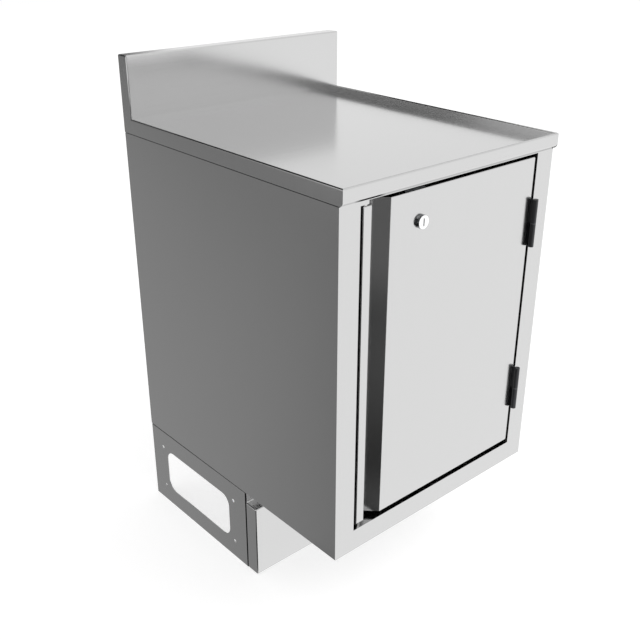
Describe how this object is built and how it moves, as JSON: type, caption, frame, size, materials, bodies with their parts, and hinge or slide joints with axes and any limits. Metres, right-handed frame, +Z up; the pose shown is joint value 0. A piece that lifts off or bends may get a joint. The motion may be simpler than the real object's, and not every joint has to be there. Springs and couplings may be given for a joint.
{
  "type": "underbar cabinet",
  "caption": "Folded stainless underbar storage cabinet: hinged door with recessed pull and lock, shelf inside, sunken worktop with raised rim and backsplash, set-back base with kick panel.",
  "frame": {"origin": "centre of the footprint box at floor level", "axes": "+Z up, -Y towards the user at the door, +X towards the hinge side"},
  "size_m": [0.457, 0.5421, 0.8577],
  "materials": {
    "stainless": "brushed, satin",
    "black_hinge": "black, semi-gloss",
    "bright_washer": "polished",
    "chrome": "polished",
    "zinc": "zinc plated",
    "rubber": "matt"
  },
  "bodies": {
    "cabinet": {"worktop": "stainless", "backsplash": "stainless", "splash_cap_left": "stainless", "splash_cap_right": "stainless", "worktop_channel_front": "stainless", "worktop_channel_rear": "stainless", "side_panel_left": "stainless", "side_panel_right": "stainless", "back_panel": "stainless", "cabinet_floor": "stainless", "floor_upstand_left": "stainless", "floor_upstand_right": "stainless", "stile_left": "stainless", "stile_right": "stainless", "top_rail": "stainless", "bottom_rail": "stainless", "shelf_standard_left_front": "zinc", "shelf_standard_left_rear": "zinc", "shelf_standard_right_front": "zinc", "shelf_standard_right_rear": "zinc", "shelf_clips": "zinc", "shelf": "stainless", "base_side_left": "stainless", "base_side_right": "stainless", "base_rail_front": "stainless", "base_rail_rear": "stainless", "kick_panel": "stainless", "kick_bracket_left": "stainless", "kick_bracket_right": "stainless", "base_bolts": "zinc", "base_nuts": "zinc", "kick_screws": "zinc", "kick_nuts": "zinc", "lock_strike": "zinc", "door_bumpers": "rubber", "hinge_upper_frame_leaf": "black_hinge", "hinge_lower_frame_leaf": "black_hinge", "hinge_upper_pin": "zinc", "hinge_lower_pin": "zinc", "hinge_upper_washer": "bright_washer", "hinge_lower_washer": "bright_washer", "hinge_screws_frame": "zinc", "hinge_backers_frame": "zinc"},
    "door": {"door_skin": "stainless", "pull_channel": "stainless", "pull_lip": "stainless", "door_liner": "stainless", "door_stiffener": "stainless", "hinge_upper_door_leaf": "black_hinge", "hinge_lower_door_leaf": "black_hinge", "hinge_screws_door": "zinc", "hinge_backers_door": "zinc", "lock_barrel": "chrome", "lock_nut": "zinc"},
    "lock_core": {"lock_plug": "chrome", "lock_cam": "zinc", "cam_screw": "zinc"}
  },
  "joints": [
    {"name": "door_hinge", "type": "hinge", "parent": "cabinet", "child": "door", "pos_m": [0.1872, -0.26655, 0.465], "axis": [0, 0, 1], "range_deg": [0, 180]},
    {"name": "lock_turn", "type": "hinge", "parent": "door", "child": "lock_core", "pos_m": [-0.0715, -0.26555, 0.6766], "axis": [0, -1, 0], "range_deg": [0, 90]}
  ]
}
